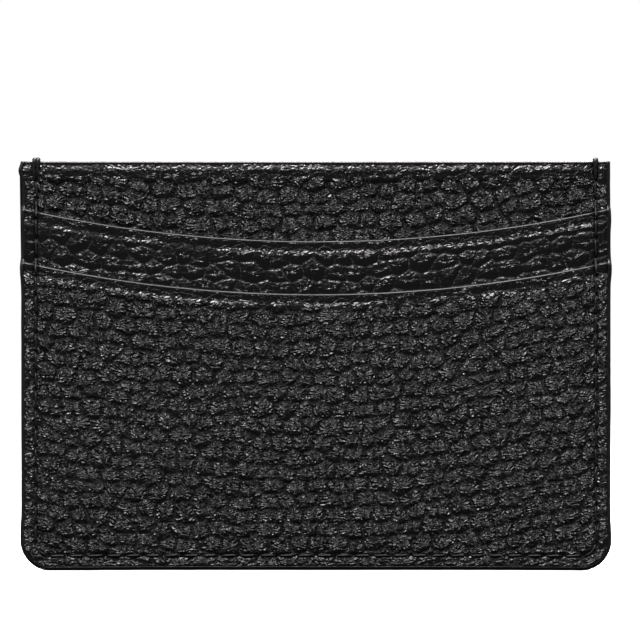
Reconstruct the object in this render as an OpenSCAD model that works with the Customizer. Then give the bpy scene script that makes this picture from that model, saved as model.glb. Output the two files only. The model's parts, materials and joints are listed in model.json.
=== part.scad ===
// Flat card holder: two leather bodies sewn round three sides, with an open
// pocket between them and two curved-mouth card slots on each face.
// X is the width, the front faces -Y, the mouths open towards +Z.

/* [Overall] */
// Width over the painted edges
holder_w = 101; // [98:0.5:108]
// Height from the bottom edge to the top edge
holder_h = 70; // [68:0.5:76]
// Radius of the two bottom corners
corner_r = 5; // [4:0.5:8]
// Thickness of the paint on a cut edge
paint_t = 0.2; // [0.1:0.05:0.3]

/* [Pocket mouths] */
// Height of the upper mouth at the middle
upper_mouth_z = 56.5; // [54:0.5:60]
// Height of the lower mouth at the middle
lower_mouth_z = 47.4; // [42:0.5:50]
// How far a mouth dips from its ends to its middle
mouth_dip = 5.6; // [4:0.1:7]

/* [Layers] */
// Body leather with its lining, at the sewn edge
body_t = 1.05; // [0.9:0.05:1.2]
// Upper pocket leather with its lining, at the sewn edge
upper_t = 1.1; // [0.9:0.05:1.2]
// Lower pocket leather with its lining, at the sewn edge
lower_t = 1.15; // [0.9:0.05:1.2]
// Thickness of the lining fabric
lining_t = 0.12; // [0.08:0.02:0.16]
// Half the slack of the centre pocket
centre_gap = 0.1; // [0.05:0.05:0.15]
// Slack of each card slot while it is empty
slot_gap = 0.2; // [0.1:0.05:0.25]

/* [Seams] */
// Distance of the seam from the outer edge
seam_inset = 2.55; // [2.2:0.05:3]
// Length from one needle hole to the next
stitch_pitch = 3.25; // [2.5:0.25:4]
// Diameter of the thread
thread_d = 0.4; // [0.3:0.05:0.5]
// Width of the groove that the thread lies in
groove_w = 0.8; // [0.8:0.05:1]
// Depth of that groove
groove_d = 0.3; // [0.2:0.05:0.35]
// Height of the hidden seam that stops a card in the upper slot
card_stop_z = 11.5; // [10:0.5:13]
// Length of the thread that is wrapped down each face at the top edge
wrap_len = 3.2; // [2.5:0.1:4]

/* [Hidden] */

leather_black = [0.035, 0.034, 0.036];
lining_black = [0.06, 0.06, 0.065];
paint_black = [0.015, 0.014, 0.014];
thread_black = [0.02, 0.02, 0.022];

// The three layers of one face, counted outwards from the middle plane
BODY = 0;
UPPER = 1;
LOWER = 2;
layer_t = [body_t, upper_t, lower_t];
layer_in = [0, body_t, body_t + upper_t];
layer_out = layer_in + layer_t;
layer_gap = [centre_gap, slot_gap, slot_gap];

// Each pocket is open at its mouth and ends inside the seam
pocket_margin = seam_inset + 0.9;
card_stop_margin = 1.5;
pocket_floor = [pocket_margin, card_stop_z + card_stop_margin, pocket_margin];
pocket_corner_r = 2;

mouth_z = [holder_h, upper_mouth_z, lower_mouth_z];
half_w = holder_w / 2;
mouth_r = (half_w * half_w + mouth_dip * mouth_dip) / (2 * mouth_dip);

seam_x = half_w - seam_inset;
seam_corner_r = corner_r - seam_inset;
stitch_share = 0.8;
thread_r = thread_d / 2;
stop_half_l = half_w - pocket_margin - 1.5;
strand_w = 0.55;
wrap_rise = 0.5;
eps = 0.02;

// Height of a layer's mouth edge at a given distance from the middle
function mouth_at(layer, x) =
    mouth_z[layer] + mouth_r - sqrt(mouth_r * mouth_r - x * x);

// Whole number of stitches nearest to the pitch along a stretch
function stitch_count(length) = max(1, round(length / stitch_pitch));

// ---- outlines, drawn as X and Z ----

// The holder's outline moved in from its sides and bottom
module outline(inset) {
    r = corner_r - inset;
    half = half_w - inset;
    translate([-half, corner_r]) square([2 * half, holder_h - corner_r]);
    translate([r - half, inset]) square([2 * (half - r), corner_r]);
    for (side = [-1, 1])
        translate([side * (half - r), corner_r]) circle(r, $fn = 96);
}

// Everything above a layer's mouth, lowered by a given amount
module above_mouth(layer, lowered) {
    if (layer == BODY)
        translate([-holder_w, holder_h - lowered]) square([2 * holder_w, holder_h]);
    else
        translate([0, mouth_z[layer] + mouth_r])
            circle(mouth_r + lowered, $fn = 720);
}

// A layer's leather, inside the paint on all its edges
module panel_shape(layer) {
    difference() {
        outline(paint_t);
        above_mouth(layer, paint_t);
    }
}

// The open inside of a layer's pocket
module pocket_shape(layer, inset) {
    half = half_w - pocket_margin - inset;
    floor_z = pocket_floor[layer] + inset;
    r = pocket_corner_r;
    translate([-half, floor_z + r]) square([2 * half, holder_h]);
    translate([r - half, floor_z]) square([2 * (half - r), holder_h]);
    for (side = [-1, 1])
        translate([side * (half - r), floor_z + r]) circle(r, $fn = 48);
}

// The band that the seam's groove takes up
module groove_shape() {
    difference() {
        outline(seam_inset - groove_w / 2);
        outline(seam_inset + groove_w / 2);
    }
}

// ---- building blocks on the back face; the front is their mirror ----

// An outline given thickness from y0 to y1
module slab(y0, y1) {
    translate([0, y1, 0]) rotate([90, 0, 0]) linear_extrude(y1 - y0) children();
}

module on_front() {
    mirror([0, 1, 0]) children();
}

// The seam's groove where a layer is the outermost one
module seam_groove(layer) {
    slab(layer_out[layer] - groove_d, layer_out[layer] + eps)
        intersection() {
            groove_shape();
            if (layer == LOWER) outline(0);
            else above_mouth(layer + 1, 0);
        }
}

// The slack of a pocket, as a solid to cut away
module pocket_slack(layer, thickness, inset) {
    slab(layer_in[layer] - eps, layer_in[layer] + thickness) pocket_shape(layer, inset);
}

// Leather panel, hollowed on its inner face where the pocket is
module panel(layer) {
    color(leather_black) difference() {
        slab(layer_in[layer] + lining_t, layer_out[layer]) panel_shape(layer);
        pocket_slack(layer, layer_gap[layer] + lining_t, 0);
        seam_groove(layer);
        if (layer == UPPER) card_stop_groove();
    }
}

// Lining, flat in the seam and raised with the leather over the pocket
module lining(layer) {
    base = layer_in[layer];
    color(lining_black) difference() {
        union() {
            slab(base, base + lining_t) panel_shape(layer);
            slab(base, base + layer_gap[layer] + lining_t) intersection() {
                panel_shape(layer);
                pocket_shape(layer, 0);
            }
        }
        pocket_slack(layer, layer_gap[layer], lining_t);
    }
}

// Paint on a layer's mouth or top edge
module mouth_paint(layer) {
    color(paint_black) difference() {
        slab(layer_in[layer], layer_out[layer]) difference() {
            intersection() {
                outline(paint_t);
                above_mouth(layer, paint_t);
            }
            above_mouth(layer, 0);
        }
        pocket_slack(layer, layer_gap[layer], lining_t);
        seam_groove(layer);
    }
}

// One stitch, lying along X with rounded ends
module stitch(length) {
    straight = length - thread_d;
    rotate([0, 90, 0]) cylinder(straight, r = thread_r, center = true, $fn = 24);
    for (end = [-1, 1]) translate([end * straight / 2, 0, 0]) sphere(thread_r, $fn = 24);
}

// Evenly spaced stitches between two points of a layer's groove
module stitch_row(layer, from, to) {
    run = to - from;
    count = stitch_count(norm(run));
    step = run / count;
    y = layer_out[layer] - groove_d + thread_r;
    for (i = [0:count - 1]) {
        middle = from + step * (i + 0.5);
        translate([middle[0], y, middle[1]])
            rotate([0, -atan2(run[1], run[0]), 0])
                stitch(norm(step) * stitch_share);
    }
}

// All the stitches that show on one face
module seam_stitches() {
    top = holder_h - wrap_len;
    arc_dx = seam_corner_r * sin(45);
    color(thread_black) {
        for (side = [-1, 1]) {
            x = side * seam_x;
            corner_x = side * (seam_x - seam_corner_r);
            arc_x = corner_x + side * arc_dx;
            arc_z = corner_r - arc_dx;
            stitch_row(BODY, [x, mouth_at(UPPER, x)], [x, top]);
            stitch_row(UPPER, [x, mouth_at(LOWER, x)], [x, mouth_at(UPPER, x)]);
            stitch_row(LOWER, [x, corner_r], [x, mouth_at(LOWER, x)]);
            stitch_row(LOWER, [x, corner_r], [arc_x, arc_z]);
            stitch_row(LOWER, [arc_x, arc_z], [corner_x, seam_inset]);
        }
        stitch_row(LOWER, [seam_corner_r - seam_x, seam_inset],
            [seam_x - seam_corner_r, seam_inset]);
    }
}

module card_stop_groove() {
    slab(layer_out[UPPER] - groove_d, layer_out[UPPER] + eps)
        translate([-stop_half_l, card_stop_z - groove_w / 2])
            square([2 * stop_half_l, groove_w]);
}

// Hidden stitches across the upper slot's floor
module card_stop_stitches() {
    color(thread_black)
        stitch_row(UPPER, [-stop_half_l, card_stop_z], [stop_half_l, card_stop_z]);
}

// Strands of thread side by side, wrapped over the top edge
module seam_wrap(strands) {
    face_y = layer_out[BODY];
    outer_y = face_y + thread_d;
    top_z = holder_h + wrap_rise;
    bend_r = thread_d;
    color(thread_black)
        for (i = [0:strands - 1])
            translate([(i - strands / 2) * strand_w, 0, 0])
                rotate([90, 0, 90]) linear_extrude(strand_w) difference() {
                    union() {
                        translate([-outer_y, holder_h - wrap_len])
                            square([2 * outer_y, wrap_len + wrap_rise - bend_r]);
                        translate([bend_r - outer_y, holder_h])
                            square([2 * (outer_y - bend_r), wrap_rise]);
                        for (end = [-1, 1])
                            translate([end * (outer_y - bend_r), top_z - bend_r])
                                circle(bend_r, $fn = 24);
                    }
                    translate([-face_y, 0]) square([2 * face_y, holder_h]);
                }
}

// ---- the pieces ----

module front_body_panel() { on_front() panel(BODY); }
module front_body_lining() { on_front() lining(BODY); }
module front_body_top_paint() { on_front() mouth_paint(BODY); }
module front_upper_pocket_panel() { on_front() panel(UPPER); }
module front_upper_pocket_lining() { on_front() lining(UPPER); }
module front_upper_mouth_paint() { on_front() mouth_paint(UPPER); }
module front_card_stop_thread() { on_front() card_stop_stitches(); }
module front_lower_pocket_panel() { on_front() panel(LOWER); }
module front_lower_pocket_lining() { on_front() lining(LOWER); }
module front_lower_mouth_paint() { on_front() mouth_paint(LOWER); }
module front_seam_thread() { on_front() seam_stitches(); }

module back_body_panel() { panel(BODY); }
module back_body_lining() { lining(BODY); }
module back_body_top_paint() { mouth_paint(BODY); }
module back_upper_pocket_panel() { panel(UPPER); }
module back_upper_pocket_lining() { lining(UPPER); }
module back_upper_mouth_paint() { mouth_paint(UPPER); }
module back_card_stop_thread() { card_stop_stitches(); }
module back_lower_pocket_panel() { panel(LOWER); }
module back_lower_pocket_lining() { lining(LOWER); }
module back_lower_mouth_paint() { mouth_paint(LOWER); }
module back_seam_thread() { seam_stitches(); }

// Paint round both sides and the bottom, as thick as the layers it covers
module perimeter_edge_paint() {
    color(paint_black)
        for (face = [0, 1]) mirror([0, face, 0])
            for (layer = [BODY, UPPER, LOWER])
                slab(layer_in[layer], layer_out[layer]) difference() {
                    outline(0);
                    outline(paint_t);
                    above_mouth(layer, 0);
                }
}

// Two strands side by side at the start of the seam
module left_seam_wrap() { translate([-seam_x, 0, 0]) seam_wrap(2); }

// One strand at the end of the seam
module right_seam_wrap() { translate([seam_x, 0, 0]) seam_wrap(1); }

front_body_panel();
front_body_lining();
front_body_top_paint();
front_upper_pocket_panel();
front_upper_pocket_lining();
front_upper_mouth_paint();
front_card_stop_thread();
front_lower_pocket_panel();
front_lower_pocket_lining();
front_lower_mouth_paint();
front_seam_thread();
back_body_panel();
back_body_lining();
back_body_top_paint();
back_upper_pocket_panel();
back_upper_pocket_lining();
back_upper_mouth_paint();
back_card_stop_thread();
back_lower_pocket_panel();
back_lower_pocket_lining();
back_lower_mouth_paint();
back_seam_thread();
perimeter_edge_paint();
left_seam_wrap();
right_seam_wrap();
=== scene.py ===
# %% [markdown]
# # A black pebbled-leather card holder
#
# The holder is six leather panels, sewn round three sides with a fabric lining
# behind each, so that five flat pockets stay open at the top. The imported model
# has every panel as a plain plate of the right size. This script gives them
# what a plate lacks: the pebble grain, the pressed bands along the mouths, the
# sunk seam with its stitches, and the painted edge round the outside.

import bpy
import numpy as np
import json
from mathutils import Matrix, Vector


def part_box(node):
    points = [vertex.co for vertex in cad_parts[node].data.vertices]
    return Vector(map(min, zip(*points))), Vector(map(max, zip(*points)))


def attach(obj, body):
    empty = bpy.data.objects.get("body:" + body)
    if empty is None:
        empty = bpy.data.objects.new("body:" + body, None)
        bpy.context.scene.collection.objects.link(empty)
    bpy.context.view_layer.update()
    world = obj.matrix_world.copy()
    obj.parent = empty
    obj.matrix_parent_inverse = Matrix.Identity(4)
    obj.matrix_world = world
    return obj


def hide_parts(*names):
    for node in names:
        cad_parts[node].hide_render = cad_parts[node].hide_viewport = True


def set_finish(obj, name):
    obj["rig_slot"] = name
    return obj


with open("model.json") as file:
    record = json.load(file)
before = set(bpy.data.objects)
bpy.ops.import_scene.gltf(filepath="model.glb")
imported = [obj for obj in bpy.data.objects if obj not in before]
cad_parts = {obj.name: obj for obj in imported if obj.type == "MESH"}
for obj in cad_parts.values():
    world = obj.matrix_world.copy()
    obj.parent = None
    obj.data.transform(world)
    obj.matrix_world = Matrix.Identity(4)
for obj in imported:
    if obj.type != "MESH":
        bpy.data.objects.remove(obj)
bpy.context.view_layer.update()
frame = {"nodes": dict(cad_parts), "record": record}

# %% [markdown]
# ## Sizes
#
# All shapes below are worked out in millimetres, as a leather worker would,
# and turned into metres once, when a mesh is made. Every size comes from the
# packed plates: the layers from their boxes, and each mouth from the height of
# its middle, which the record gives, and of its ends, which its paint shows.

# %% Read the sizes
MM = 0.001


def box_mm(node):
    """A CAD node's lowest and highest corner, in millimetres."""
    return np.array([list(corner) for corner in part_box(node)]) / MM


def mouth_radius(half_chord, dip):
    """Radius of the arc that dips by dip between two ends a chord apart."""
    return (half_chord ** 2 + dip ** 2) / (2 * dip)


EDGE = box_mm("perimeter_edge_paint")
HALF_W, HEIGHT, HALF_T = EDGE[1, 0], EDGE[1, 2], EDGE[1, 1]
PAINT = HALF_W - box_mm("back_body_panel")[1, 0]
LAYERS = ("body", "upper", "lower")
PANEL = dict(body="body_panel", upper="upper_pocket_panel", lower="lower_pocket_panel")
OUT = {k: box_mm("back_" + PANEL[k])[1, 1] for k in LAYERS}
BASE = dict(body=0.0, upper=OUT["body"], lower=OUT["upper"])
LINING_T = box_mm("back_body_panel")[0, 1]
THREAD_D = np.ptp(box_mm("back_card_stop_thread")[:, 1])
SEAM_INSET = HALF_W - box_mm("back_seam_thread")[1, 0] + THREAD_D / 2

heights = {m["name"]: m["pos_m"][2] / MM for m in frame["record"]["mounts"]}
MOUTH = dict(body=HEIGHT, upper=heights["front_upper_slot"], lower=heights["front_lower_slot"])
mouth_ends = box_mm("back_upper_mouth_paint")[1, 2]
MOUTH_R = mouth_radius(HALF_W - PAINT, mouth_ends - MOUTH["upper"])

rim = frame["nodes"]["perimeter_edge_paint"].data.vertices
foot = [abs(v.co.x) for v in rim if v.co.z < 0.01 * MM]
CORNER_R = HALF_W - max(foot) / MM
print(f"{2 * HALF_W:.1f} wide, {HEIGHT:.1f} high, corners {CORNER_R:.2f}, mouths R {MOUTH_R:.1f}")
print("layers end at", {k: round(v, 2) for k, v in OUT.items()}, "seam inset", round(SEAM_INSET, 2))

# %% [markdown]
# ## Stage, light and camera
#
# A leather worker judges grain under one broad light from above: each pebble
# then has a bright brow and a dark chin. So one wide softbox hangs overhead
# and one stands before each face, with four small ones at the corners so that
# the edges read too. The floor and the sky are pale to the eye but dark to the
# holder's reflections, as black cards beside a product are in a studio.

# %% Camera
VIEW_W = 109.55                # width of the view at the front face, in mm
VIEW_CENTRE = (0.7, 42.95)     # what the view's middle looks at: x and z, in mm
CAMERA_AWAY = 1200.0
SENSOR = 36.0

camera_data = bpy.data.cameras.new("camera")
camera_data.sensor_width = SENSOR
camera_data.lens = SENSOR * CAMERA_AWAY / VIEW_W
camera_data.clip_start, camera_data.clip_end = 0.05, 20
camera = bpy.data.objects.new("camera", camera_data)
camera.location = np.array([VIEW_CENTRE[0], -HALF_T - CAMERA_AWAY, VIEW_CENTRE[1]]) * MM
camera.rotation_euler = (np.pi / 2, 0, 0)
bpy.context.scene.collection.objects.link(camera)
bpy.context.scene.camera = camera
bpy.context.scene.view_settings.view_transform = "Standard"
print(f"lens {camera_data.lens:.0f} mm at {CAMERA_AWAY / 1000:.1f} m")


# %% Softboxes
def side_name(side):
    """The front is the side of -Y and the back the side of +Y."""
    return "back" if side > 0 else "front"


def softbox(name, place, size, watts):
    """A rectangular area light at place, in metres, turned to face the holder."""
    data = bpy.data.lights.new(name, "AREA")
    data.shape, data.size, data.size_y, data.energy = "RECTANGLE", size[0], size[1], watts
    data.color = (1.0, 0.96, 0.99)
    light = bpy.data.objects.new(name, data)
    light.location = place
    aim = light.location.copy()
    aim.z -= HEIGHT / 2 * MM
    light.rotation_euler = aim.to_track_quat("Z", "Y").to_euler()
    light.visible_camera = False
    bpy.context.scene.collection.objects.link(light)


softbox("light_overhead", (0, 0, 0.9), (0.8, 0.5), 10)
for along in (-1, 1):
    softbox("light_" + side_name(along), (0.15 * along, 0.55 * along, 0.85), (0.5, 0.3), 19.5)
for across in (-1, 1):
    for along in (-1, 1):
        name = f"light_corner_{'right' if across > 0 else 'left'}_{side_name(along)}"
        softbox(name, (0.9 * across, 0.3 * along, 0.5), (0.45, 0.45), 1.5)


# %% Floor and sky
def node_maker(tree):
    """Returns a short helper that adds a node and sets its inputs by name."""
    def add(kind, settings=None, **inputs):
        node = tree.nodes.new(kind)
        for key, value in (settings or {}).items():
            setattr(node, key, value)
        for key, value in inputs.items():
            socket = node.inputs[int(key[1:]) if key[1:].isdigit() else key.replace("_", " ")]
            if isinstance(value, bpy.types.NodeSocket):
                tree.links.new(value, socket)
            else:
                socket.default_value = value
        return node
    return add


def build_sky(seen, lit, mirrored):
    """A world that is one grey to the camera, one to soft light and one to reflections."""
    world = bpy.data.worlds.new("sky")
    bpy.context.scene.world = world
    world.use_nodes = True
    tree = world.node_tree
    tree.nodes.clear()
    add = node_maker(tree)
    path = add("ShaderNodeLightPath")
    soft = add("ShaderNodeMix", dict(data_type="FLOAT"), i0=path.outputs["Is Diffuse Ray"],
               i2=mirrored, i3=lit)
    grey = add("ShaderNodeMix", dict(data_type="FLOAT"), i0=path.outputs["Is Camera Ray"],
               i2=soft.outputs[0], i3=seen)
    back = add("ShaderNodeBackground", Color=(1, 1, 1, 1), Strength=grey.outputs[0])
    add("ShaderNodeOutputWorld", Surface=back.outputs[0])


def build_floor(radius):
    """A round floor at the height the holder stands on: to the camera it is white and
    glows a little more further out, and to all other rays it is dark."""
    turn = np.linspace(0, 2 * np.pi, 96, endpoint=False)
    ring = np.stack([radius * np.cos(turn), radius * np.sin(turn), 0 * turn], 1)
    mesh = bpy.data.meshes.new("floor")
    mesh.from_pydata(ring.tolist(), [], [list(range(len(ring)))])
    floor = bpy.data.objects.new("floor", mesh)
    bpy.context.scene.collection.objects.link(floor)
    material = bpy.data.materials.new("pale_floor")
    material.use_nodes = True
    tree = material.node_tree
    tree.nodes.clear()
    add = node_maker(tree)
    path = add("ShaderNodeLightPath")
    place = add("ShaderNodeTexCoord").outputs["Object"]
    away = add("ShaderNodeVectorMath", dict(operation="LENGTH"), i0=place)
    glow = add("ShaderNodeMapRange", i0=away.outputs["Value"], i1=0.15, i2=0.8, i3=0.7, i4=1.0)
    pale = add("ShaderNodeBsdfDiffuse", Color=(0.9, 0.9, 0.9, 1))
    lit = add("ShaderNodeEmission", Color=(1, 1, 1, 1), Strength=glow.outputs[0])
    sweep_white = add("ShaderNodeAddShader", i0=pale.outputs[0], i1=lit.outputs[0])
    dark = add("ShaderNodeBsdfDiffuse", Color=(0.03, 0.03, 0.03, 1))
    both = add("ShaderNodeMixShader", i0=path.outputs["Is Camera Ray"], i1=dark.outputs[0],
               i2=sweep_white.outputs[0])
    add("ShaderNodeOutputMaterial", Surface=both.outputs[0])
    mesh.materials.append(material)


build_sky(seen=1.0, lit=0.1, mirrored=0.02)
build_floor(radius=6.0)
print("stage: floor, sky and seven softboxes")

# %% [markdown]
# ## Noise and cells
#
# Two patterns make the grain. Value noise is a smooth random height, and warps
# straight things. A cell pattern throws one point into each brick of a
# staggered wall and asks how far each place is from the wall between its own
# point and the next: that gives the pebbles, with a valley at every wall.

# %% Noise helpers
def smooth(low, high, x):
    """0 below low, 1 above high, and an S-curve between them."""
    t = np.clip((x - low) / (high - low), 0, 1)
    return t * t * (3 - 2 * t)


def scatter(i, j, seed):
    """A random number from 0 to 1 for each lattice point: the tail of a large sine."""
    big = np.sin(i * 12.9898 + j * 78.233 + seed * 37.719) * 43758.5453
    return big - np.floor(big)


def noise(x, z, seed):
    """Value noise from -1 to 1: lattice numbers blended by an S-curve across each square."""
    i, j = np.floor(x), np.floor(z)
    u, v = smooth(0, 1, x - i), smooth(0, 1, z - j)
    low = scatter(i, j, seed) * (1 - u) + scatter(i + 1, j, seed) * u
    high = scatter(i, j + 1, seed) * (1 - u) + scatter(i + 1, j + 1, seed) * u
    return 2 * (low * (1 - v) + high * v) - 1


def creases(x, z, seed, octaves):
    """Sharp valleys where noise crosses zero: 0 in a valley, rising to about 1. Each
    octave is twice as fine and half as strong as the last."""
    total = sum(np.abs(noise(x * 2 ** k, z * 2 ** k, seed + k)) / 2 ** k for k in range(octaves))
    return total / sum(0.5 ** k for k in range(octaves))


def cells(p, q, jitter, seed):
    """For each place in a brick wall of unit cells: the distance to the nearest wall
    between two cell points, the offset from its own point, and that cell's number."""
    near = np.full(p.shape, 9.0)
    own_p, own_q, own_n = np.zeros_like(p), np.zeros_like(p), np.zeros_like(p)
    found = []
    row0 = np.floor(q)
    for dj in (-1, 0, 1):
        row = row0 + dj
        shift = 0.5 * (row % 2)
        col0 = np.floor(p - shift)
        for di in (-1, 0, 1):
            col = col0 + di
            cp = col + 0.5 + shift + jitter * (scatter(col, row, seed) - 0.5)
            cq = row + 0.5 + 0.7 * jitter * (scatter(col, row, seed + 1) - 0.5)
            found.append((cp, cq))
            away = (p - cp) ** 2 + (q - cq) ** 2
            mine = away < near
            near = np.where(mine, away, near)
            own_p, own_q = np.where(mine, cp, own_p), np.where(mine, cq, own_q)
            own_n = np.where(mine, scatter(col, row, seed + 2), own_n)
    wall = np.full(p.shape, 9.0)
    for cp, cq in found:
        apart = np.hypot(cp - own_p, cq - own_q)
        away = (p - cp) ** 2 + (q - cq) ** 2
        to_wall = (away - near) / (2 * np.maximum(apart, 1e-6))
        wall = np.where(apart > 1e-6, np.minimum(wall, to_wall), wall)
    return wall, p - own_p, q - own_q, own_n


print("noise from", round(float(noise(np.arange(999) * 0.37, np.arange(999) * 0.11, 3).min()), 2))

# %% [markdown]
# ## The pebble grain
#
# Shrunken leather gathers into pebbles about 3.5 mm wide in rows 2.6 mm apart,
# and the rows sag across the hide like a hammock. Each pebble is a low dome
# with a sharp valley round it. Its brow is a little fuller than its chin, and
# short folds run out from its middle and notch its rim. Finer creases cross
# it all.

# %% Pebble relief
PEBBLE_W, PEBBLE_H = 3.55, 2.62
ROW_SAG, SAG_CENTRE = 0.00215, 5.0
SCATTERED = 0.6                # how far a pebble strays from its brick, in bricks
DOME_REACH = 0.46              # wall distance, in bricks, at which a dome is full
DOME_RISE, BROW_RISE = 0.45, 0.06


def pebble_relief(x, z, seed):
    """Height of the grain in millimetres, 0 at the domes' tops; how far each place is
    up its pebble, from 0 to 1; and its offset from the pebble's middle, with a number
    for the pebble. Dome = 1 - (1 - t)^1.7, t being the wall distance as a share of
    the dome's reach; folds are the absolute sine of a multiple of the angle round the
    pebble, fading in towards its rim."""
    wx = x + 0.85 * noise(x / 6.1, z / 5.3, seed) + 0.3 * noise(x / 2.3, z / 1.9, seed + 5)
    wz = z + 0.7 * noise(x / 7.3, z / 5.9, seed + 1) + 0.22 * noise(x / 2.1, z / 1.7, seed + 6)
    p = wx / PEBBLE_W
    q = (wz - ROW_SAG * (x - SAG_CENTRE) ** 2) / PEBBLE_H
    wall, dp, dq, number = cells(p, q, SCATTERED, seed + 10)
    t = np.clip(wall / DOME_REACH, 0, 1)
    dome = 1 - (1 - t) ** 1.7
    angle = np.arctan2(dq * PEBBLE_H, dp * PEBBLE_W)
    reach = np.hypot(dp, dq)
    turns = 4 + np.floor(number * 4)
    folds = np.abs(np.sin(turns * angle + 40 * number + 1.3 * noise(x / 0.9, z / 0.7, seed + 20)))
    folds = (folds ** 0.7 - 0.6) * smooth(0.08, 0.4, reach)
    fine = creases(x / 1.1, z / 0.62, seed + 30, 2) - 0.5
    size = 0.82 + 0.36 * number
    height = DOME_RISE * (dome - 1) * size + dq * BROW_RISE * t
    height += (0.1 * folds + 0.12 * fine) * (0.45 + 0.55 * t)
    spot = np.stack([dp * PEBBLE_W, dq * PEBBLE_H, 40 * number], -1)
    return height, dome, spot


sample = pebble_relief(np.random.default_rng(1).uniform(-40, 40, 4000), np.linspace(0, 45, 4000), 7)
print("relief from", round(float(sample[0].min()), 3), "to", round(float(sample[0].max()), 3))

# %% [markdown]
# ## Places on the holder
#
# Everything on the holder is placed by how far it is from an edge: the seam is
# a set distance in, the edge rolls over within a millimetre, and a mouth has a
# pressed band of its own. So three measures do the work: the distance to the
# outside edge, the distance below a mouth, and the level of the outermost
# layer, which steps up at each mouth.

# %% Distances
LEATHER_R = CORNER_R - PAINT


def half_width(z):
    """Half the leather's width at height z: full above the corners, their arc below."""
    drop = np.clip(CORNER_R - z, 0, LEATHER_R)
    return HALF_W - CORNER_R + np.sqrt(LEATHER_R ** 2 - drop ** 2)


def edge_distance(x, z):
    """Distance in from the sides and bottom, with round corners: the corner radius
    less the distance to a box whose sides are drawn in by that radius."""
    across, below = np.abs(x) - (HALF_W - CORNER_R), CORNER_R - z
    outside = np.hypot(np.maximum(across, 0), np.maximum(below, 0))
    return CORNER_R - outside - np.minimum(np.maximum(across, below), 0)


def mouth_height(layer, x, below=0.0):
    """Height of the line a set distance below a layer's mouth: level for the body,
    else an arc about a high centre."""
    if layer == "body":
        return HEIGHT - below + 0 * x
    return MOUTH[layer] + MOUTH_R - np.sqrt((MOUTH_R + below) ** 2 - x ** 2)


def mouth_distance(layer, x, z):
    """Distance below a layer's mouth."""
    if layer == "body":
        return HEIGHT - z
    return np.hypot(x, z - MOUTH[layer] - MOUTH_R) - MOUTH_R


def level(x, z, soft=0.25):
    """Height of the outermost layer's face: it climbs by a layer at each mouth."""
    climb_upper = smooth(-soft, soft, mouth_height("upper", x) - z)
    climb_lower = smooth(-soft, soft, mouth_height("lower", x) - z)
    return (OUT["body"] + (OUT["upper"] - OUT["body"]) * climb_upper
            + (OUT["lower"] - OUT["upper"]) * climb_lower)


def roll(distance, width, depth):
    """How far a face has dropped towards a rounded edge: a quarter ellipse."""
    near = np.clip(1 - distance / width, 0, 1)
    return depth * (1 - np.sqrt(1 - near ** 2))


print("edge distance at the middle:", float(edge_distance(np.array(0.0), np.array(30.0))))

# %% [markdown]
# ## The seam's path
#
# One row of lockstitch runs down the left side, along the bottom and up the
# right side. Its needle holes matter to the leather as well as to the thread,
# since each one dimples the groove, so the path and its holes come first.

# %% Seam path and needle holes
SEAM_X = HALF_W - SEAM_INSET
SEAM_R = CORNER_R - SEAM_INSET
STITCH = 3.25
GROOVE_D, GROOVE_W = 0.36, 0.42


def seam_outline():
    """Dense points along the seam: straight legs and bottom joined by quarter circles."""
    turn = np.linspace(0, np.pi / 2, 24)
    arc_x = SEAM_X - SEAM_R + SEAM_R * np.cos(turn)
    arc_z = CORNER_R - SEAM_R * np.sin(turn)
    right_x, right_z = np.append(SEAM_X, arc_x), np.append(HEIGHT, arc_z)
    return np.append(-right_x, right_x[::-1]), np.append(right_z, right_z[::-1])


path_x, path_z = seam_outline()
path_s = np.append(0, np.cumsum(np.hypot(np.diff(path_x), np.diff(path_z))))


def seam_point(s):
    """The place on the seam at length s from its start at the top left."""
    return np.interp(s, path_s, path_x), np.interp(s, path_s, path_z)


hole_count = round(path_s[-1] / STITCH) + 1
hole_s = np.linspace(0, path_s[-1], hole_count)
hole_x, hole_z = seam_point(hole_s)
print(f"seam {path_s[-1]:.1f} mm long, {hole_count} needle holes")


def hole_dimples(x, z, edge):
    """Depth of the dimples at the needle holes: a small bell round each one."""
    dimple = np.zeros_like(x)
    close = np.abs(edge - SEAM_INSET) < 1.2
    apart = np.hypot(x[close][:, None] - hole_x, z[close][:, None] - hole_z).min(1)
    dimple[close] = np.exp(-(apart / 0.38) ** 2)
    return dimple


# %% [markdown]
# ## The face of a leather panel
#
# A panel's face starts at its plate's level. Towards a mouth the leather was
# skived thin and creased with a hot iron, so a smooth band lies below the
# grain and rises to it over a soft shoulder. Towards the outside it rolls over
# to the painted edge. The seam pulls a groove, and the grain fades wherever
# the iron or the needle has pressed it flat.

# %% Panel face
# a band's flat end and its shoulder's end below the mouth, and its depth
BAND = dict(body=(2.2, 3.0, 0.11), upper=(1.25, 2.45, 0.26), lower=(1.25, 2.45, 0.31))
# how far below the mouth a lip reaches, and how far it drops
LIP = dict(body=(1.5, 0.27), upper=(0.3, 0.14), lower=(0.3, 0.14))
# how freely the grain stands up: the strip between the mouths is pressed the most
FREEDOM = dict(body=1.0, upper=0.15, lower=1.0)
LEAST_FREE = 0.14
PUFF_D, PUFF_W = 0.3, 2.2
ROLL_W = 1.3
ROLL_D = dict(body=0.42, upper=0.42, lower=0.75)
SEED = dict(body=11, upper=23, lower=7)


def hidden(layer, x, z):
    """1 where the next layer lies over this one, 0 where it shows."""
    over = dict(body="upper", upper="lower").get(layer)
    if over is None:
        return np.zeros_like(x)
    return smooth(0.4, 2.6, mouth_height(over, x) - z)


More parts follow.
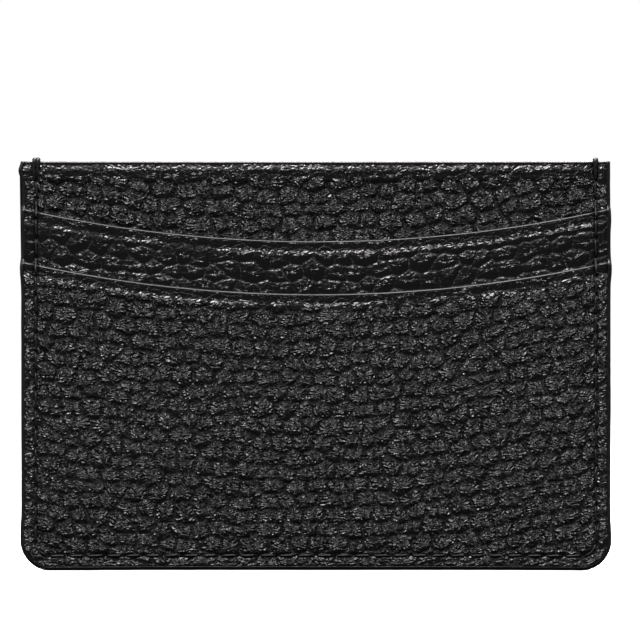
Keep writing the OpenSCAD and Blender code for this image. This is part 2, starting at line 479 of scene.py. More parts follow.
def panel_face(layer, x, z, side):
    """Height of a panel's face: its level, less the band, the lip, the roll and the
    groove, plus the masked grain and a puff inside the seam, 1 - e^-(distance / 2.2).
    With it come the marks for the finish: how far up its pebble each place is, where
    on the pebble, and how freely it wrinkles, more above its middle than below."""
    edge = edge_distance(x, z)
    mouth = mouth_distance(layer, x, z) - PAINT
    band_low, band_high, band_depth = BAND[layer]
    pressed = 1 - smooth(band_low, band_high, mouth)
    groove = np.exp(-((edge - SEAM_INSET) / GROOVE_W) ** 2)
    border = 1 - smooth(SEAM_INSET - 0.4, SEAM_INSET + 0.9, edge)
    shows = 1 - hidden(layer, x, z)

    grain, dome, spot = pebble_relief(x * side, z, SEED[layer] + 100 * (side > 0))
    ridges = 0.05 * noise(x / 2.3, z / 0.55, SEED[layer] + 60) + 0.03 * noise(x / 0.9, z / 0.4, 61)
    free = smooth(band_low + 0.35, band_high + 0.3, mouth)
    free = free * (1 - 0.85 * groove) * smooth(0.5, 1.3, edge)
    wander = 0.1 * noise(x / 19 + 3, z / 16, SEED[layer] + 70)
    puff = PUFF_D * (1 - np.exp(-np.maximum(edge - SEAM_INSET, 0) / PUFF_W))

    face = OUT[layer] - roll(edge - PAINT, ROLL_W, ROLL_D[layer])
    lip_width, lip_depth = LIP[layer]
    if layer == "body":
        face -= lip_depth * (1 - smooth(0.15, lip_width, mouth))
    else:
        face -= roll(mouth, lip_width, lip_depth)
    relief = grain * free * (1 - 0.55 * border) * (0.25 + 0.75 * FREEDOM[layer])
    relief += ridges * border * free
    relief += wander * smooth(1.0, 6.0, edge) + puff
    relief -= band_depth * pressed + GROOVE_D * groove
    relief -= 0.16 * hole_dimples(x, z, edge) + 0.1 * border
    up = 1 + 0.7 * np.clip(spot[..., 1] / PEBBLE_H, -0.5, 0.5)
    wrinkled = np.clip(free * shows * FREEDOM[layer], LEAST_FREE, 1) * (1 - 0.3 * border) * up
    marks = dict(grain=1 - (1 - dome) * free * shows, spot=spot, wrinkled=wrinkled)
    return face + relief * shows - 0.02 * (1 - shows), marks


# %% [markdown]
# ## Making a panel
#
# A panel is a grid: its columns run from side to side and its rows from the
# bottom edge to the mouth, closer together near each edge so that the rolls
# stay round. The inside face needs few rows, so it keeps all of them round
# the corners and only a handful above. The walls between the two faces are
# quads along the bottom and the mouth, and flat polygons up the sides.

# %% Grid spacing
EDGE_STEPS = np.array([0, 0.05, 0.12, 0.2, 0.3, 0.42, 0.56, 0.72, 0.9, 1.1])
CORNER_ROWS = 26
COVERED_STEP = 2.0             # rows where the next layer hides this one


def spread(length, step, coarse_until=0.0, both_ends=True):
    """Places from 0 to length: fine near the far end (and the near one), even between."""
    first = EDGE_STEPS if both_ends else np.arange(0, coarse_until, COVERED_STEP)
    start = first[-1] if len(first) else 0.0
    stop = length - EDGE_STEPS[-1]
    middle = np.linspace(start, stop, max(2, round((stop - start) / step)) + 1)
    return np.concatenate([first, middle[1 if len(first) else 0:], (length - EDGE_STEPS[::-1])[1:]])


def panel_grid(layer, step):
    """X and Z of a panel's grid: rows follow the corner's arc, then fan out to the mouth."""
    wide = 2 * (HALF_W - PAINT)
    column = spread(wide, step) / wide * 2 - 1
    turn = np.linspace(0, np.pi / 2, CORNER_ROWS)
    corner_z = CORNER_R - LEATHER_R * np.cos(turn)
    over = dict(body="upper", upper="lower").get(layer)
    covered = MOUTH[over] - 3.0 - CORNER_R if over else 0.0
    tall = MOUTH[layer] - PAINT - CORNER_R
    rise = spread(tall, step, covered, both_ends=False) / tall
    low_x = column[None, :] * half_width(corner_z)[:, None]
    low_z = np.repeat(corner_z[:, None], len(column), 1)
    high_x = np.repeat(column[None, :] * wide / 2, len(rise) - 1, 0)
    high_z = CORNER_R + rise[1:, None] * (mouth_height(layer, high_x, PAINT) - CORNER_R)
    return np.concatenate([low_x, high_x]), np.concatenate([low_z, high_z])


for layer in LAYERS:
    print(layer, "grid", panel_grid(layer, 0.25)[0].shape)


# %% Piece helpers
pieces = {}


def finish_piece(name, mesh, slot, stands_for):
    """Puts a finished mesh in the scene as a piece that rides on the holder."""
    piece = bpy.data.objects.new(name, mesh)
    bpy.context.scene.collection.objects.link(piece)
    mesh.shade_smooth()
    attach(piece, "root")
    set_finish(piece, slot)
    if stands_for:
        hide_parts(*stands_for)
    pieces[name] = piece
    return piece


def make_mesh(name, points, faces, **marks):
    """A mesh from points in millimetres, with each mark as one number or three per vertex."""
    mesh = bpy.data.meshes.new(name)
    mesh.from_pydata(points.reshape(-1, 3) * MM, [], faces)
    for mark, values in marks.items():
        many = values.ndim > 1
        layer = mesh.attributes.new(mark, "FLOAT_VECTOR" if many else "FLOAT", "POINT")
        layer.data.foreach_set("vector" if many else "value", values.astype(np.float32).ravel())
    return mesh


def quads(grid, flip=False):
    """The four corners of every square of a grid of vertex numbers."""
    a, b, c, d = grid[:-1, :-1], grid[:-1, 1:], grid[1:, 1:], grid[1:, :-1]
    faces = np.stack([a, b, c, d], -1).reshape(-1, 4)
    return (faces[:, ::-1] if flip else faces).tolist()


def settle(points):
    """Small unevenness of a hand-made holder: the sewn edge swells under each mouth's
    end and at the foot, top and foot bow a little, and one corner has a lump."""
    x, z = points[..., 0], points[..., 2]
    end_upper = mouth_height("upper", np.array(HALF_W))
    end_lower = mouth_height("lower", np.array(HALF_W))
    swell = (0.16 * np.exp(-((z - end_upper + 1.8) / 1.8) ** 2)
             + 0.24 * np.exp(-((z - end_lower + 1.4) / 2.2) ** 2)
             + 0.18 * np.exp(-((z - 6.0) / 2.5) ** 2)
             + 0.06 * noise(z / 7, np.sign(x) * 9, 3))
    lump = 0.55 * np.exp(-((z - 68.4) / 1.3) ** 2) * (x < 0)
    out = smooth(HALF_W - 3.5, HALF_W, np.abs(x))
    raised = smooth(60, HEIGHT, z) * (0.16 - 0.04 * (1 - (x / HALF_W) ** 2))
    bowed = 0.12 * smooth(8, 0, z) * smooth(1.0, 0.5, np.abs(x) / HALF_W)
    moved = np.array(points)
    moved[..., 0] = x + np.sign(x) * out * (swell + lump)
    moved[..., 2] = z + raised + bowed
    return moved


# %% Panels
MARGIN = SEAM_INSET + 0.9      # sewn flat this far in from the edge
POCKET_SIDE = HALF_W - MARGIN
POCKET_FLOOR = dict(body=MARGIN, upper=box_mm("back_card_stop_thread")[1, 2] + 1.3, lower=MARGIN)
SLACK = {k: box_mm("back_" + PANEL[k].replace("panel", "lining"))[1, 1] - BASE[k] - LINING_T
         for k in LAYERS}


def in_pocket(layer, x, z, soft=0.15):
    """1 inside a layer's open pocket and 0 in its sewn margin."""
    across = smooth(-soft, soft, POCKET_SIDE - np.abs(x))
    return across * smooth(-soft, soft, z - POCKET_FLOOR[layer])


def make_panel(layer, side, step):
    """A closed leather panel: the face, a sparse inside with the pocket's hollow,
    and walls along its four edges."""
    x, z = panel_grid(layer, step)
    face, marks = panel_face(layer, x, z, side)
    rows, columns = x.shape
    needed = list(range(CORNER_ROWS))
    for mark in (POCKET_FLOOR[layer] - 0.3, POCKET_FLOOR[layer] + 0.3):
        needed.append(int(np.argmin(np.abs(z[:, columns // 2] - mark))))
    needed = np.unique(needed + [rows - 2, rows - 1])
    inner_x, inner_z = x[needed], z[needed]
    inner = BASE[layer] + LINING_T + SLACK[layer] * in_pocket(layer, inner_x, inner_z)

    outer_points = np.stack([x, side * face, z], -1)
    inner_points = np.stack([inner_x, side * inner, inner_z], -1)
    points = settle(np.concatenate([outer_points.reshape(-1, 3), inner_points.reshape(-1, 3)]))
    front = np.arange(rows * columns).reshape(rows, columns)
    back = rows * columns + np.arange(inner.size).reshape(inner.shape)
    flip = side > 0
    faces = quads(front, flip) + quads(back, not flip)
    faces += quads(np.stack([back[0], front[0]]), flip)
    faces += quads(np.stack([front[-1], back[-1]]), flip)
    for k in range(len(needed) - 1):
        low, high = needed[k], needed[k + 1]
        left = front[low:high + 1, 0].tolist() + [int(back[k + 1, 0]), int(back[k, 0])]
        right = front[low:high + 1, -1][::-1].tolist() + [int(back[k, -1]), int(back[k + 1, -1])]
        faces += [left[::-1], right[::-1]] if flip else [left, right]
    for key, mark in marks.items():
        inside = np.zeros((inner.size, mark[0, 0].size))
        marks[key] = np.concatenate([mark.reshape(face.size, -1), inside]).squeeze()
    name = f"{side_name(side)}_{PANEL[layer]}"
    mesh = make_mesh(name + "_leather", points, faces, **marks)
    finish_piece(name + "_leather", mesh, "leather", [name])
    print(name, len(points), "points, face up to", round(float(face.max()), 2))


STEP = dict(body=0.2, upper=0.2, lower=0.25)
for side in (-1, 1):
    for layer in LAYERS:
        make_panel(layer, side, STEP[layer])

# %% [markdown]
# ## Linings
#
# A thin black twill is glued behind each panel and caught in the seam. It only
# shows as a dark edge down in the mouths, but it is a cloth of its own: flat
# in the seam, and lifted with the leather where the pocket is open.

# %% Linings
LINING_STEP = 1.0
PULLED_BACK = 0.35             # a lining stops this far short of its mouth
CLEAR = 0.01                   # and stays this far off the leather


def make_lining(layer, side):
    """A closed sheet, as thick as its plate, that steps up from margin to pocket."""
    x, z = panel_grid(layer, LINING_STEP)
    keep_rows = np.unique(np.r_[0:CORNER_ROWS:3, CORNER_ROWS:len(x) - 8, len(x) - 1])
    x, z = x[keep_rows] * 0.998, z[keep_rows]
    z = np.minimum(z, z[-1:] - PULLED_BACK)
    lifted = BASE[layer] + SLACK[layer] * in_pocket(layer, x, z)
    rows, columns = x.shape
    under = np.stack([x, side * (lifted + CLEAR), z], -1)
    over = np.stack([x, side * (lifted + LINING_T - CLEAR), z], -1)
    front = np.arange(x.size).reshape(rows, columns)
    back = front + x.size
    flip = side > 0
    faces = quads(front, flip) + quads(back, not flip)
    for wall in ((back[0], front[0]), (front[-1], back[-1]),
                 (front[:, 0], back[:, 0]), (back[:, -1], front[:, -1])):
        faces += quads(np.stack(wall), flip)
    name = f"{side_name(side)}_{PANEL[layer].replace('panel', 'lining')}"
    points = settle(np.concatenate([over.reshape(-1, 3), under.reshape(-1, 3)]))
    mesh = make_mesh(name + "_cloth", points, faces)
    piece = finish_piece(name + "_cloth", mesh, "lining", [name])
    flat = (np.ptp(x) * MM, np.ptp(z) * MM)
    area = float(np.trapz(2 * half_width(z[:, 0]), z[:, 0])) * MM * MM


for side in (-1, 1):
    for layer in LAYERS:
        make_lining(layer, side)
print("linings made:", sum("cloth" in name for name in pieces))

# %% [markdown]
# ## Edge paint
#
# Cut leather edges are sealed with several coats of thick acrylic paint, which
# dries to a smooth rounded bead and creeps a little way onto the faces. Round
# the outside one bead covers the whole stack, so its profile is as wide as the
# stack is thick at each place; along a mouth it covers a single panel.

# %% Beads
def sweep(stations, profile_ring, flip=False):
    """Faces of a closed tube of rings, one ring per station, with flat end caps."""
    grid = np.arange(stations * profile_ring).reshape(stations, profile_ring)
    closed = np.concatenate([grid, grid[:, :1]], 1)
    start, end = grid[0].tolist(), grid[-1].tolist()
    return quads(closed, flip) + ([start, end[::-1]] if flip else [start[::-1], end])


def make_mouth_bead(layer, side):
    """A bead along a mouth, as wide as leather and lining together: an ellipse whose
    sine is raised to a power below 1, so that its top is flat and its sides full."""
    x = np.linspace(-1, 1, 420) * (HALF_W - PAINT - 0.05)
    turn = np.linspace(0, 2 * np.pi, 20, endpoint=False)
    outer = panel_face(layer, x, mouth_height(layer, x, PAINT + 0.16), side)[0] + 0.03
    inner = BASE[layer] + SLACK[layer] * smooth(-0.3, 0.3, POCKET_SIDE - np.abs(x)) + 0.01
    middle, half = (outer + inner) / 2, (outer - inner) / 2
    depth = 0.27 + 0.025 * noise(x / 3.1, x * 0 + side * 5, SEED[layer] + 90)
    round_up = np.sign(np.sin(turn)) * np.abs(np.sin(turn)) ** (0.45 if layer == "body" else 0.8)
    below = 0.26 - depth[:, None] * round_up
    n = middle[:, None] + half[:, None] * np.cos(turn)
    z = mouth_height(layer, x[:, None], below)
    points = settle(np.stack([np.repeat(x[:, None], len(turn), 1), side * n, z], -1))
    name = f"{side_name(side)}_{'body_top' if layer == 'body' else layer + '_mouth'}_paint"
    mesh = make_mesh(name + "_bead", points, sweep(len(x), len(turn), side < 0))
    finish_piece(name + "_bead", mesh, "edge_paint", [name])


for side in (-1, 1):
    for layer in LAYERS:
        make_mouth_bead(layer, side)


def outline_path(step):
    """The holder's outside edge from top left to top right, with the way outwards."""
    leg = np.linspace(HEIGHT, CORNER_R, round((HEIGHT - CORNER_R) / step) + 1)
    turn = np.linspace(0, np.pi / 2, round(CORNER_R * np.pi / 2 / step) + 1)[1:]
    foot = np.linspace(0, HALF_W - CORNER_R, round((HALF_W - CORNER_R) / step) + 1)[1:]
    left_x = np.concatenate([leg * 0 - HALF_W, CORNER_R * (1 - np.cos(turn)) - HALF_W,
                             foot + CORNER_R - HALF_W])
    left_z = np.concatenate([leg, CORNER_R * (1 - np.sin(turn)), foot * 0])
    out_x = np.concatenate([leg * 0 - 1, -np.cos(turn), foot * 0])
    out_z = np.concatenate([leg * 0, -np.sin(turn), foot * 0 - 1])
    mirrored = slice(-2, None, -1)
    return (np.append(left_x, -left_x[mirrored]), np.append(left_z, left_z[mirrored]),
            np.append(out_x, -out_x[mirrored]), np.append(out_z, out_z[mirrored]))


def make_rim():
    """The bead round the sides and bottom: its profile follows the leather's roll on
    both faces, then crosses the edge with a slight crown and a line at each ply."""
    x, z, out_x, out_z = outline_path(0.3)
    top = level(HALF_W * np.sign(x) * 0.999, z, 0.2)
    depth = ROLL_D["body"] + (ROLL_D["lower"] - ROLL_D["body"]) * smooth(OUT["upper"], OUT["lower"], top)
    inward = np.array([0.66, 0.62, 0.5, 0.38, 0.27, 0.17, 0.09, 0.03])
    lift = np.array([-0.12, -0.03, 0.0, 0.015, 0.025, 0.03, 0.03, 0.02])
    drop = roll(np.maximum(inward - 0.14, 0.0), ROLL_W, 1.0)
    lip = top[:, None] - depth[:, None] * drop - 0.1 + lift
    across = np.linspace(1, -1, 73)[1:-1]
    wall = lip[:, -1:] * across
    crown = 0.03 - 0.05 * (1 - across ** 2)
    n = np.concatenate([lip, wall, -lip[:, ::-1]], 1)
    inset = np.concatenate([inward, crown, inward[::-1]])
    station = np.arange(len(x))[:, None]
    waver = 0.05 * noise(station * 0.03, np.sign(n), 43)
    plies = sum(np.exp(-((np.abs(n) - join + waver) / 0.085) ** 2)
                for join in (0.0, OUT["body"], OUT["upper"]))
    uneven = 0.6 + 0.4 * noise(station * 0.05, n * 0.8, 44)
    ripple = 0.03 * noise(station * 0.17, n * 1.3, 41) + 0.075 * plies * uneven
    inset = inset[None, :] + ripple * (np.abs(n) < lip[:, -1:] - 0.1)
    px = x[:, None] - out_x[:, None] * inset
    pz = np.maximum(z[:, None] - out_z[:, None] * inset, 0.0)
    points = settle(np.stack([px, n, pz], -1))
    mesh = make_mesh("perimeter_rim", points, sweep(*n.shape, True))
    print("rim", n.shape, "half thickness", round(float(n.max()), 2))
    finish_piece("perimeter_rim", mesh, "edge_paint", ["perimeter_edge_paint"])


make_rim()

# %% [markdown]
# ## Thread
#
# The seam is bonded black thread of two plies. Each stitch rises out of one
# needle hole, lies in the groove and dives into the next, so a stitch is a
# short tube whose ends bend inwards, and two lobes that turn along it show the
# twist. At each end of the seam the thread goes over the top edge and down the
# other face: twice on the left, and once on the right, where it ends in a tip.

# %% Stitches
THREAD_R = THREAD_D / 2
RINGS, SIDES = 9, 8
TWIST = 2 * np.pi / 1.9        # turn of the plies per millimetre
AT_HOLE = 0.12                 # how far short of its hole a stitch ends
WRAP_HOLES = 1                 # holes at each end that the wraps cover


def tube_points(centre, tangent, radius, twist_at):
    """Rings of points round a line: across each tangent, out to a radius that has
    two lobes turning with the twist."""
    tangent = tangent / np.linalg.norm(tangent, axis=-1, keepdims=True)
    hint = np.zeros_like(tangent)
    hint[..., 0] = np.where(np.abs(tangent[..., 0]) < 0.9, 1, 0)
    hint[..., 1] = 1 - hint[..., 0]
    first = np.cross(tangent, hint)
    first /= np.linalg.norm(first, axis=-1, keepdims=True)
    second = np.cross(tangent, first)
    angle = np.linspace(0, 2 * np.pi, SIDES, endpoint=False)
    lobes = 1 + 0.14 * np.cos(2 * (angle - twist_at[..., None]))
    reach = (radius[..., None] * lobes)[..., None]
    ring = first[..., None, :] * np.cos(angle)[:, None] + second[..., None, :] * np.sin(angle)[:, None]
    return centre[..., None, :] + ring * reach


def tube_faces(count, rings, first=0):
    """Faces of several tubes with flat ends, numbered one tube after another."""
    tube = sweep(rings, SIDES)
    return [[corner + first + k * rings * SIDES for corner in face]
            for k in range(count) for face in tube]


def make_stitches(side):
    """All stitches of one face: tubes between neighbouring needle holes, highest in
    the middle, bent into the holes by the fifth power of the way along, and each a
    little aslant."""
    way = np.linspace(-1, 1, RINGS)
    middle = (hole_s[1:] + hole_s[:-1]) / 2
    reach = (hole_s[1] - hole_s[0]) / 2 - AT_HOLE
    s = middle[WRAP_HOLES:-WRAP_HOLES, None] + way * reach
    x, z = seam_point(s)
    n = level(x, z, 0.6) - GROOVE_D - 0.1 + THREAD_R * 1.05 - 0.42 * np.abs(way) ** 5
    centre = np.stack([x, side * n, z], -1)
    tangent = np.gradient(centre, axis=1)
    across = np.stack([tangent[..., 2], 0 * x, -tangent[..., 0]], -1)
    slant = (0.06 * way * side)[:, None]
    centre = centre + across / np.linalg.norm(across, axis=-1, keepdims=True) * slant
    radius = np.broadcast_to(THREAD_R * (1 - 0.35 * np.abs(way) ** 8), x.shape)
    points = tube_points(centre, tangent, radius, s * TWIST)
    name = f"{side_name(side)}_seam_thread"
    mesh = make_mesh(name + "_stitches", settle(points), tube_faces(len(s), RINGS))
    print(name, len(s), "stitches")
    finish_piece(name + "_stitches", mesh, "thread", [name])


for side in (-1, 1):
    make_stitches(side)


# %% Wraps over the top edge
def make_wrap(name, x_places, tip):
    """Strands over the top edge: up one face, over a round top and down the other.
    The tip, where there is one, is the cut end standing up beside the strand."""
    leg, shoulder = 3.1, 0.35
    reach = OUT["body"] - 0.18
    turn = np.linspace(-np.pi / 2, np.pi / 2, 15)
    up = np.linspace(0, 1, 12)[:-1]
    n_leg = reach - 0.45 * (1 - up) ** 4
    z_leg = HEIGHT - leg + up * (leg - shoulder)
    n_over = reach * np.sign(turn) * np.abs(np.sin(turn)) ** 0.8
    z_over = HEIGHT - shoulder + 0.66 * np.cos(turn) ** 0.5
    n = np.concatenate([-n_leg, n_over, n_leg[::-1]])
    z = np.concatenate([z_leg, z_over, z_leg[::-1]])
    strands = []
    for k, place in enumerate(x_places):
        sway = 0.05 * noise(z / 1.3, z * 0 + k, 80 + k)
        strands.append(np.stack([place + sway, n, z + 0.04 * k], -1))
    centre = np.stack(strands)
    tangent = np.gradient(centre, axis=1)
    along = np.linspace(0, 2 * (leg + reach) * TWIST, centre.shape[1])
    radius = np.broadcast_to(0.26 + 0.1 * smooth(HEIGHT - 1.2, HEIGHT, z), centre.shape[:2])
    points = tube_points(centre, tangent, radius, np.broadcast_to(along, radius.shape))
    faces = tube_faces(len(x_places), centre.shape[1])
    if tip:
        way = np.linspace(0, 1, RINGS)
        line = np.stack([x_places[-1] + 0.32 + 0.1 * way, -0.5 + 0.3 * way,
                         HEIGHT - 0.3 + 0.95 * way], -1)[None]
        thin = (0.2 * (1 - way ** 2) + 0.02)[None]
        end = tube_points(line, np.gradient(line, axis=1), thin, way[None] * 5)
        faces += tube_faces(1, RINGS, points.size // 3)
        points = np.concatenate([points.reshape(-1, 3), end.reshape(-1, 3)])
    mesh = make_mesh(name + "_strands", settle(points), faces)
    finish_piece(name + "_strands", mesh, "thread", [name])


make_wrap("left_seam_wrap", [-SEAM_X - 0.27, -SEAM_X + 0.27], tip=False)
make_wrap("right_seam_wrap", [SEAM_X], tip=True)

# %% [markdown]
# The line of stitches that stops a card in each upper slot is hidden inside the
# lower pocket, but a holder has one, so it is made in the same way.

# %% Card-stop stitches
STOP_Z = box_mm("back_card_stop_thread").mean(0)[2]
STOP_HALF = box_mm("back_card_stop_thread")[1, 0]


def make_card_stop(side):
    """Straight stitches across the upper pocket's face, sunk into it at each hole."""
    count = round(2 * STOP_HALF / STITCH)
    way = np.linspace(-1, 1, RINGS)
    middle = (np.arange(count) + 0.5) * 2 * STOP_HALF / count - STOP_HALF
    x = middle[:, None] + way * (STOP_HALF / count - AT_HOLE)
    n = OUT["upper"] - 0.06 - 0.3 * np.abs(way) ** 6 + 0 * x
    centre = np.stack([x, side * n, np.full_like(x, STOP_Z)], -1)
    radius = np.broadcast_to(THREAD_R * 0.8 * (1 - 0.35 * np.abs(way) ** 8), x.shape)
    points = tube_points(centre, np.gradient(centre, axis=1), radius, x * TWIST)
    name = f"{side_name(side)}_card_stop_thread"
    mesh = make_mesh(name + "_stitches", settle(points), tube_faces(count, RINGS))
    finish_piece(name + "_stitches", mesh, "thread", [name])


for side in (-1, 1):
    make_card_stop(side)
print("pieces:", len(pieces))

# %% [markdown]
# ## Finishes
#
# Black leather is never one black. Its pebble tops are polished by the press
# and by hands, its valleys stay matt, and creases finer than the mesh break up
# every highlight. Its base colour is darker in the valleys than on the tops:
# partly the leather's own darker tone there, and partly painted shade for the
# light that the valleys hide from. One node group draws a web of creases from
# Object coordinates, and another draws the folds that run out from each
# pebble's middle, from the mark "spot". The mark "grain" says where the tops
# and the valleys are, and "wrinkled" how free the leather is to crease.

# %% Node groups
def new_group(name, inputs, outputs):
    """A shader group with float or vector sockets made by name."""
    group = bpy.data.node_groups.new(name, "ShaderNodeTree")
    for label, (kind, value) in inputs.items():
        socket = group.interface.new_socket(label, in_out="INPUT", socket_type=kind)
        if value is not None:
            socket.default_value = value
    for label, kind in outputs.items():
        group.interface.new_socket(label, in_out="OUTPUT", socket_type=kind)
    add = node_maker(group)
    return group, add, add("NodeGroupInput"), add("NodeGroupOutput")


def math(add, operation, a, b=0.0, c=0.0):
    """An operation on one to three numbers or sockets."""
    return add("ShaderNodeMath", dict(operation=operation), i0=a, i1=b, i2=c).outputs[0]


def build_wrinkles():
    """Fine creases: small knobs of stretched noise, longer creases from noise folded
    at its middle, and crackle lines along a cell pattern's walls."""
    group, add, given, result = new_group(
        "fine_wrinkles",
        dict(Vector=("NodeSocketVector", None), Size=("NodeSocketFloat", 0.5),
             Stretch=("NodeSocketFloat", 1.8)),
        dict(Height="NodeSocketFloat", Speckle="NodeSocketFloat"))
    rate = math(add, "DIVIDE", 1 / MM, given.outputs["Size"])
    flat_rate = math(add, "DIVIDE", rate, given.outputs["Stretch"])
    scale = add("ShaderNodeCombineXYZ", X=flat_rate, Y=rate, Z=rate)
    place = add("ShaderNodeVectorMath", dict(operation="MULTIPLY"),
                i0=given.outputs["Vector"], i1=scale.outputs[0])
    coarse = add("ShaderNodeTexNoise", Vector=place.outputs[0], Scale=0.5, Detail=0.0)
    centred = math(add, "SUBTRACT", coarse.outputs[0], 0.5)
    folded = math(add, "MULTIPLY", math(add, "ABSOLUTE", centred), 2.0)
    knobs = add("ShaderNodeTexNoise", Vector=place.outputs[0], Scale=1.0, Detail=0.0)
    crackle = add("ShaderNodeTexVoronoi", dict(feature="DISTANCE_TO_EDGE"),
                  Vector=place.outputs[0], Scale=0.4)
    line = add("ShaderNodeMapRange", i0=crackle.outputs["Distance"], i2=0.2)
    total = math(add, "ADD", folded, math(add, "MULTIPLY", knobs.outputs[0], 0.5))
    add_line = math(add, "MULTIPLY", line.outputs[0], 0.5)
    fine = add("ShaderNodeTexNoise", Vector=place.outputs[0], Scale=5.0, Detail=1.0)
    group.links.new(math(add, "ADD", total, add_line), result.inputs["Height"])
    group.links.new(fine.outputs[0], result.inputs["Speckle"])
    return group


def build_rays():
    """Folds that run out from each pebble's middle: noise on the direction from the
    middle, which changes little along a ray and differs from pebble to pebble."""
    group, add, given, result = new_group(
        "pebble_rays",
        dict(Spot=("NodeSocketVector", None), Count=("NodeSocketFloat", 4.0)),
        dict(Height="NodeSocketFloat"))
    parts = add("ShaderNodeSeparateXYZ", Vector=given.outputs["Spot"])
    flat = add("ShaderNodeCombineXYZ", X=parts.outputs[0],
               Y=math(add, "MULTIPLY", parts.outputs[1], 1.3))
    reach = add("ShaderNodeVectorMath", dict(operation="LENGTH"), i0=flat.outputs[0])
    way = add("ShaderNodeVectorMath", dict(operation="NORMALIZE"), i0=flat.outputs[0])
    round_way = add("ShaderNodeVectorMath", dict(operation="SCALE"),
                    i0=way.outputs[0], i3=given.outputs["Count"])
    drift = math(add, "MULTIPLY", reach.outputs["Value"], 0.9)
    deep = add("ShaderNodeCombineXYZ", Z=math(add, "ADD", parts.outputs[2], drift))
    place = add("ShaderNodeVectorMath", dict(operation="ADD"),
                i0=round_way.outputs[0], i1=deep.outputs[0])
    layer = add("ShaderNodeTexNoise", Vector=place.outputs[0], Scale=1.0, Detail=0.0)
    group.links.new(math(add, "MULTIPLY", layer.outputs[0], 1.3), result.inputs["Height"])
    return group


wrinkles = build_wrinkles()
rays = build_rays()


# %% Leather
def new_material(name):
    """An empty material, with its tree and the helper that adds nodes to it."""
    material = bpy.data.materials.new(name)
    material.use_nodes = True
    tree = material.node_tree
    tree.nodes.clear()
    return material, tree, node_maker(tree)


MEAN_FOLD = 1.65


def use_group(tree, group, **inputs):
    """Places a group in a material and sets its inputs."""
    node = tree.nodes.new("ShaderNodeGroup")
    node.node_tree = group
    for key, value in inputs.items():
        if isinstance(value, bpy.types.NodeSocket):
            tree.links.new(value, node.inputs[key])
        else:
            node.inputs[key].default_value = value
    return node


def build_leather(name, size, strength):
    """Black leather: a base colour darker in the valleys, partly its own tone and partly
    painted shade, polished tops, and as a bump the fine creases, less their mean, with
    each valley sunk a little more. Ironed leather is glossier."""
    material, tree, add = new_material(name)
    place = add("ShaderNodeTexCoord").outputs["Object"]
    grain = add("ShaderNodeAttribute", dict(attribute_name="grain")).outputs["Fac"]
    tops = add("ShaderNodeMapRange", i0=grain, i1=0.25, i2=0.95)
    web = use_group(tree, wrinkles, Vector=place, Size=size, Stretch=1.3)
    spot = add("ShaderNodeAttribute", dict(attribute_name="spot")).outputs["Vector"]
    free = add("ShaderNodeAttribute", dict(attribute_name="wrinkled")).outputs["Fac"]
    ray = use_group(tree, rays, Spot=spot, Count=4.4)
    fold = math(add, "ADD", web.outputs["Height"], math(add, "MULTIPLY", ray.outputs["Height"], 1.3))
    fold = math(add, "SUBTRACT", fold, MEAN_FOLD)
    fold = math(add, "MULTIPLY", fold, math(add, "MULTIPLY_ADD", tops.outputs[0], 0.4, 0.6))
    valley = add("ShaderNodeMapRange", dict(interpolation_type="SMOOTHSTEP"), i0=grain,
                 i1=0.0, i2=0.4, i3=-0.58, i4=0.0)
    height = math(add, "MULTIPLY", math(add, "ADD", fold, valley.outputs[0]), free)
    # base colour from near black in the valleys to a little lighter on the tops: partly the leather's
    # own tone, partly painted shade in the valleys
    colour = add("ShaderNodeMix", dict(data_type="RGBA"), i0=tops.outputs[0],
                 i6=(0.0003, 0.0003, 0.0003, 1), i7=(0.0018, 0.0017, 0.0018, 1))
    dull = add("ShaderNodeMapRange", i0=tops.outputs[0], i3=0.33, i4=0.27)
    rough = math(add, "ADD", dull.outputs[0], math(add, "MULTIPLY", web.outputs["Speckle"], 0.06))
    ironed = add("ShaderNodeMapRange", i0=free, i1=LEAST_FREE, i2=0.3, i3=-0.04, i4=0.0)
    rough = math(add, "ADD", rough, ironed.outputs[0])
    bump = add("ShaderNodeBump", Strength=strength, Distance=0.36 * MM, Height=height)
    shader = add("ShaderNodeBsdfPrincipled", Base_Color=colour.outputs[2], Roughness=rough,
                 Normal=bump.outputs[0], IOR=1.5)
    shader.inputs["Specular IOR Level"].default_value = 0.55
    add("ShaderNodeOutputMaterial", Surface=shader.outputs[0])
    return material


leather = build_leather("pebbled_leather", size=0.36, strength=1.0)


# %% Lining, paint and thread
def build_lining():
    """Twill: fine diagonal ribs, with fuzz on them and a soft sheen from its fibres."""
    material, tree, add = new_material("black_twill")
    place = add("ShaderNodeTexCoord").outputs["Object"]
    turned = add("ShaderNodeMapping", Vector=place, Rotation=(0, 0.9, 0))
    rib = add("ShaderNodeTexWave", dict(bands_direction="X"), Vector=turned.outputs[0],
              Scale=900.0, Distortion=0.6)
    fuzz = add("ShaderNodeTexNoise", Vector=place, Scale=2500.0, Detail=3.0)
    height = math(add, "ADD", rib.outputs[1], math(add, "MULTIPLY", fuzz.outputs[0], 0.4))
    colour = add("ShaderNodeMix", dict(data_type="RGBA"), i0=rib.outputs[1],
                 i6=(0.006, 0.006, 0.007, 1), i7=(0.02, 0.02, 0.023, 1))
    bump = add("ShaderNodeBump", Strength=0.6, Distance=0.05 * MM, Height=height)
    shader = add("ShaderNodeBsdfPrincipled", Base_Color=colour.outputs[2], Roughness=0.85,
                 Normal=bump.outputs[0])
    shader.inputs["Sheen Weight"].default_value = 0.3
    add("ShaderNodeOutputMaterial", Surface=shader.outputs[0])
    return material


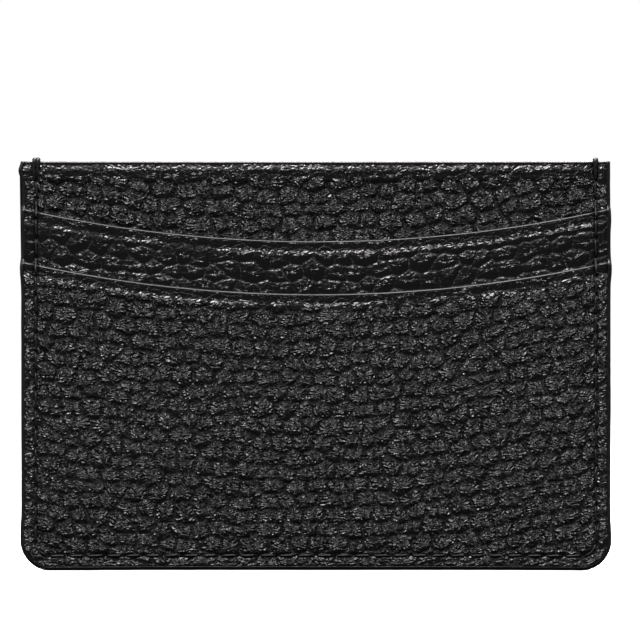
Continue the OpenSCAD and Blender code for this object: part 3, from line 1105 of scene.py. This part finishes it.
def build_paint():
    """Edge paint: near black, satin, with brush ripples and fine dull specks."""
    material, tree, add = new_material("edge_paint")
    place = add("ShaderNodeTexCoord").outputs["Object"]
    ripple = add("ShaderNodeTexNoise", Vector=place, Scale=700.0, Detail=4.0, Roughness=0.6)
    fine = add("ShaderNodeTexNoise", Vector=place, Scale=4200.0, Detail=2.0)
    height = math(add, "ADD", ripple.outputs[0], math(add, "MULTIPLY", fine.outputs[0], 0.35))
    colour = add("ShaderNodeMix", dict(data_type="RGBA"), i0=ripple.outputs[0],
                 i6=(0.0008, 0.0007, 0.0007, 1), i7=(0.0035, 0.003, 0.003, 1))
    rough = add("ShaderNodeMapRange", i0=fine.outputs[0], i3=0.3, i4=0.46)
    bump = add("ShaderNodeBump", Strength=0.5, Distance=0.08 * MM, Height=height)
    shader = add("ShaderNodeBsdfPrincipled", Base_Color=colour.outputs[2], Roughness=rough.outputs[0],
                 Normal=bump.outputs[0])
    shader.inputs["Specular IOR Level"].default_value = 0.5
    add("ShaderNodeOutputMaterial", Surface=shader.outputs[0])
    return material


def build_thread():
    """Bonded thread: fine fibres along it and a waxy shine."""
    material, tree, add = new_material("bonded_thread")
    place = add("ShaderNodeTexCoord").outputs["Object"]
    fibre = add("ShaderNodeTexNoise", Vector=place, Scale=9000.0, Detail=3.0, Distortion=0.4)
    colour = add("ShaderNodeMix", dict(data_type="RGBA"), i0=fibre.outputs[0],
                 i6=(0.003, 0.003, 0.003, 1), i7=(0.012, 0.0115, 0.012, 1))
    bump = add("ShaderNodeBump", Strength=0.6, Distance=0.06 * MM, Height=fibre.outputs[0])
    shader = add("ShaderNodeBsdfPrincipled", Base_Color=colour.outputs[2], Roughness=0.45,
                 Normal=bump.outputs[0])
    shader.inputs["Specular IOR Level"].default_value = 0.25
    add("ShaderNodeOutputMaterial", Surface=shader.outputs[0])
    return material


FINISH = dict(leather=leather, lining=build_lining(), edge_paint=build_paint(), thread=build_thread())
for piece in pieces.values():
    piece.data.materials.append(FINISH[piece["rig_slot"]])
print("finishes:", ", ".join(FINISH))

# %% Import json
import json
